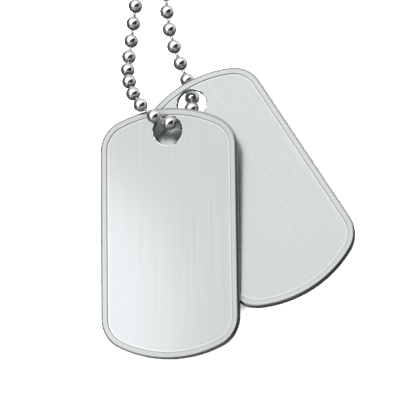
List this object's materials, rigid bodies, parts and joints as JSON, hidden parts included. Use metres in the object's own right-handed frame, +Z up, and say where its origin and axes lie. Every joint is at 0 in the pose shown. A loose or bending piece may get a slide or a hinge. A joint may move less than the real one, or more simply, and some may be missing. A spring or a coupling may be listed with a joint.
{
  "type": "pair of identification tags on a ball chain",
  "caption": "Two plain rounded oblong steel tags with raised rims, threaded one over the other on a closed ball chain that lies in a long loop.",
  "frame": {"origin": "middle of the laid-out necklace's outline, on the floor that it lies on", "axes": "+Z up from the floor; +Y along the necklace, from the tags to the far end of the loop; +X to the right, to which the rear tag is fanned"},
  "size_m": [0.1514, 0.2806, 0.0126],
  "materials": {
    "tag_steel": "stainless steel sheet, finely brushed along its length, edges tumbled smooth",
    "chain_steel": "polished steel balls and pins"
  },
  "bodies": {
    "root": {"front_tag": "tag_steel", "rear_tag": "tag_steel", "ball_chain": "chain_steel", "chain_clasp": "chain_steel"}
  },
  "joints": []
}
